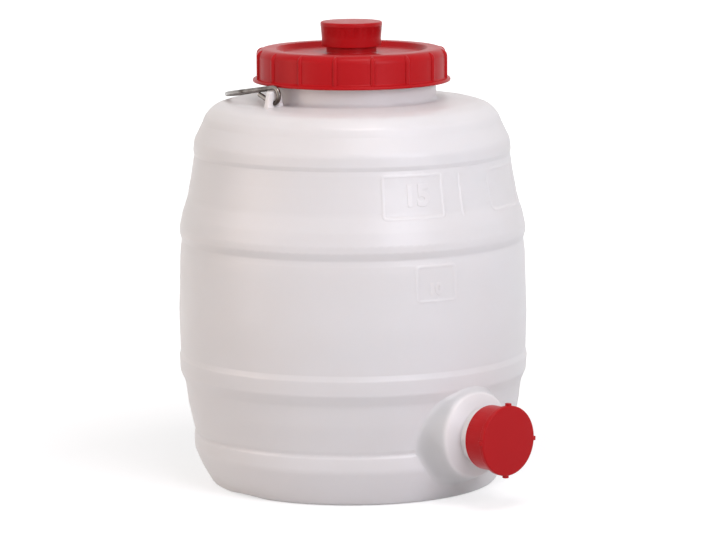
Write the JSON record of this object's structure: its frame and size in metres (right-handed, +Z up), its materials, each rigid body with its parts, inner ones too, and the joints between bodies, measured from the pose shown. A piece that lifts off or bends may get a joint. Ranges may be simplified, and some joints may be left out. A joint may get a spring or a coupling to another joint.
{
  "type": "plastic drinks barrel",
  "caption": "Hooped plastic drinks barrel with a ribbed screw lid, a small vent cap, a capped outlet near the foot and a folding wire bail.",
  "frame": {"origin": "on the surface it stands on, under the middle of the whole object's box; the barrel's own axis stands 22.35 mm behind it, at +Y", "axes": "+Z up, parallel to the barrel's axis, -Y towards the outlet, +X through the bail's lugs"},
  "size_m": [0.3007, 0.3453, 0.398],
  "materials": {
    "shell_plastic": "natural translucent blow-moulded polyethylene, satin",
    "cap_plastic": "red injection-moulded polypropylene, semi-gloss",
    "seal_rubber": "pale food-grade rubber",
    "wire_steel": "bright drawn stainless wire"
  },
  "bodies": {
    "barrel": {"barrel_body": "shell_plastic"},
    "lid_seal": {"lid_gasket": "seal_rubber"},
    "lid": {"screw_lid": "cap_plastic"},
    "vent_seal": {"vent_gasket": "seal_rubber"},
    "vent": {"vent_cap": "cap_plastic"},
    "outlet_seal": {"outlet_gasket": "seal_rubber"},
    "outlet": {"outlet_cap": "cap_plastic"},
    "bail": {"bail_handle": "wire_steel"}
  },
  "joints": [
    {"name": "lid_lift", "type": "slide", "parent": "barrel", "child": "lid_seal", "axis": [0, 0, 1], "range_m": [0, 0.0301]},
    {"name": "lid_turn", "type": "hinge", "parent": "lid_seal", "child": "lid", "pos_m": [0, 0.02235, 0.36], "axis": [0, 0, 1], "range_deg": [0, 1800]},
    {"name": "vent_lift", "type": "slide", "parent": "lid", "child": "vent_seal", "axis": [0, 0, 1], "range_m": [0, 0.0241]},
    {"name": "vent_turn", "type": "hinge", "parent": "vent_seal", "child": "vent", "pos_m": [0, 0.02235, 0.388], "axis": [0, 0, 1], "range_deg": [0, 2160]},
    {"name": "outlet_pull", "type": "slide", "parent": "barrel", "child": "outlet_seal", "axis": [0, -1, 0], "range_m": [0, 0.0281]},
    {"name": "outlet_turn", "type": "hinge", "parent": "outlet_seal", "child": "outlet", "pos_m": [0, -0.16065, 0.0595], "axis": [0, -1, 0], "range_deg": [0, 2016]},
    {"name": "bail_swing", "type": "hinge", "parent": "barrel", "child": "bail", "pos_m": [0, 0.02235, 0.3406], "axis": [1, 0, 0], "range_deg": [0, 180]}
  ],
  "couplings": [
    {"joint": "lid_lift", "follows": "lid_turn", "m_per_rad": 0.00095493},
    {"joint": "vent_lift", "follows": "vent_turn", "m_per_rad": 0.00063662},
    {"joint": "outlet_pull", "follows": "outlet_turn", "m_per_rad": 0.00079577}
  ]
}
